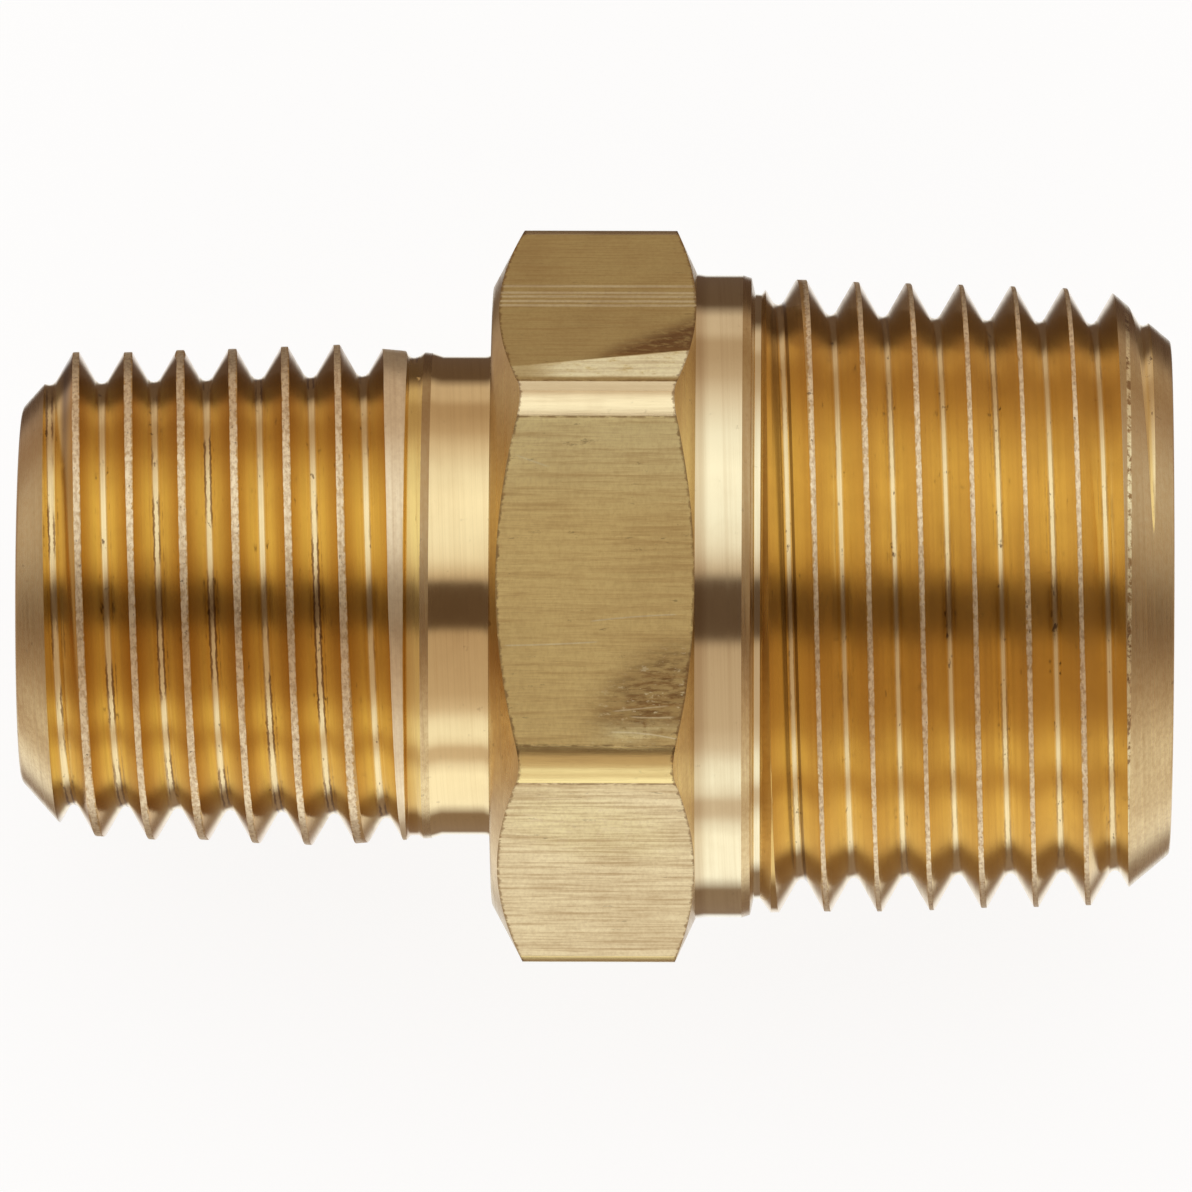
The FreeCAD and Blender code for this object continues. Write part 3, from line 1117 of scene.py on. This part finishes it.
# What the metal reflects: (angle, brightness) going round the axis, in degrees and positive
# towards +Y, and blended between them. Zero is where a surface facing the camera looks, which
# is the dark camera itself.
STUDIO = (
    (-177, 0.20), (-152, 0.28), (-131, 0.26), (-120.5, 1.08), (-96, 1.10), (-90, 0.92),
    (-85, 0.68), (-79, 0.66), (-75, 0.92), (-70, 1.02), (-63, 0.95), (-56, 0.68), (-48, 0.56),
    (-18, 0.50), (-14.5, 0.105), (5.5, 0.105), (9, 0.62), (18, 0.93), (28, 1.00), (46, 1.08),
    (60, 0.97), (76, 0.74), (86, 0.54), (96, 0.46), (104, 0.45), (110, 0.60), (120, 0.60),
    (129, 0.12), (180, 0.12),
)
TABLE_LEVEL = 0.55
TABLE_UNDERNEATH = 1.0


def light(level):
    """White where it is bright, warm like the metal around it where it is dim, and reddish
    where it is dark."""
    fully_warm, reddening = 0.45, 0.30
    dimness = min(1.0, (1 - min(level, 1.0)) / (1 - fully_warm))
    darkness = max(0.0, 1 - level / reddening)
    warmer, redder = (0.27, 0.47), 0.16
    green, blue = (1 - loss * dimness - redder * darkness for loss in warmer)
    return (level, level * green, level * blue, 1)


def studio_ramp(tree, turn):
    """The studio's light going round the axis, where turn is from zero to one."""
    ramp = node(tree, "ShaderNodeValToRGB", {"Fac": turn})
    stops = ramp.color_ramp.elements
    while len(stops) > 1:
        stops.remove(stops[0])
    stops[0].position = 0.0
    stops[0].color = light(STUDIO[0][1])
    for degrees, level in STUDIO[1:]:
        stops.new((degrees - CAMERA_TILT) / 360 + 0.5).color = light(level)
    return ramp.outputs["Color"]


def studio_world():
    world = bpy.data.worlds.new("studio")
    bpy.context.scene.world = world
    tree = empty_tree(world)
    x, y, z = split(tree, node(tree, "ShaderNodeTexCoord").outputs["Generated"])
    above = plus(tree, z, 1.0)
    half_angle = calculate(tree, "ARCTAN2", y, above)
    turn = plus(tree, product(tree, half_angle, 1 / math.pi), 0.5)
    sideways = smooth_range(tree, calculate(tree, "ABSOLUTE", x), 0.55, 0.75)
    below = smooth_range(tree, z, -0.6, -0.35, 1.0, 0.0)
    to_table = product(tree, sideways, below)
    around = mix(tree, to_table, studio_ramp(tree, turn), light(TABLE_LEVEL))
    underneath = smooth_range(tree, z, -0.99, -0.95, 1.0, 0.0)
    around = mix(tree, underneath, around, light(TABLE_UNDERNEATH))
    seen = node(tree, "ShaderNodeLightPath").outputs["Is Camera Ray"]
    colour = mix(tree, seen, around, (1, 1, 1, 1))
    shader = node(tree, "ShaderNodeBackground", {"Color": colour, "Strength": 1.0})
    node(tree, "ShaderNodeOutputWorld", {"Surface": shader.outputs[0]})


def pale_floor():
    """A white table that glows enough to look white, and still takes the fitting's shadow."""
    size, glow_strength, lit_share = 3.0, 1.1, 0.2
    bpy.ops.mesh.primitive_plane_add(size=size, location=(0, 0, box_low.z))
    floor = bpy.context.active_object
    floor.name = "floor"
    floor.visible_glossy = False
    material = bpy.data.materials.new("pale_floor")
    tree = empty_tree(material)
    lit = node(tree, "ShaderNodeBsdfDiffuse", {"Color": (0.9, 0.9, 0.9, 1)})
    glow = node(tree, "ShaderNodeEmission", {"Color": (1, 1, 1, 1), "Strength": glow_strength})
    both = node(tree, "ShaderNodeMixShader",
                {0: lit_share, 1: glow.outputs[0], 2: lit.outputs[0]})
    node(tree, "ShaderNodeOutputMaterial", {"Surface": both.outputs[0]})
    floor.data.materials.append(material)


def add_camera():
    """Nearly overhead, a little towards the lower side of the picture and the large end."""
    distance, tilt, roll, aside = 0.502, math.radians(CAMERA_TILT), math.radians(-0.2), 0.00574
    place = Vector((aside, -distance * math.sin(tilt), distance * math.cos(tilt)))
    camera = bpy.data.objects.new("camera", bpy.data.cameras.new("camera"))
    camera.location = place
    back = place.normalized()
    up = Vector((math.sin(roll), math.cos(roll), 0))
    right = up.cross(back).normalized()
    turn = Matrix((right, back.cross(right), back)).transposed()
    camera.rotation_euler = turn.to_euler()
    sensor, field = 36.0, 32.28
    camera.data.sensor_width = sensor
    camera.data.lens = sensor * place.length / MM / field
    bpy.context.scene.collection.objects.link(camera)
    bpy.context.scene.camera = camera


fitting = bpy.data.objects.new("nipple", build_mesh())
bpy.context.scene.collection.objects.link(fitting)
for finish in FINISHES:
    fitting.data.materials.append(brass(finish))
fitting.data.polygons.foreach_set("use_smooth", [True] * len(fitting.data.polygons))
fitting.data.set_sharp_from_angle(angle=SHARP_EDGE)
weights = fitting.modifiers.new("normals", "WEIGHTED_NORMAL")
weights.keep_sharp = True
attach(fitting, "root")
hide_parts("nipple_body")

studio_world()
pale_floor()
add_camera()
bpy.context.scene.view_settings.view_transform = "Standard"

bpy.context.view_layer.update()
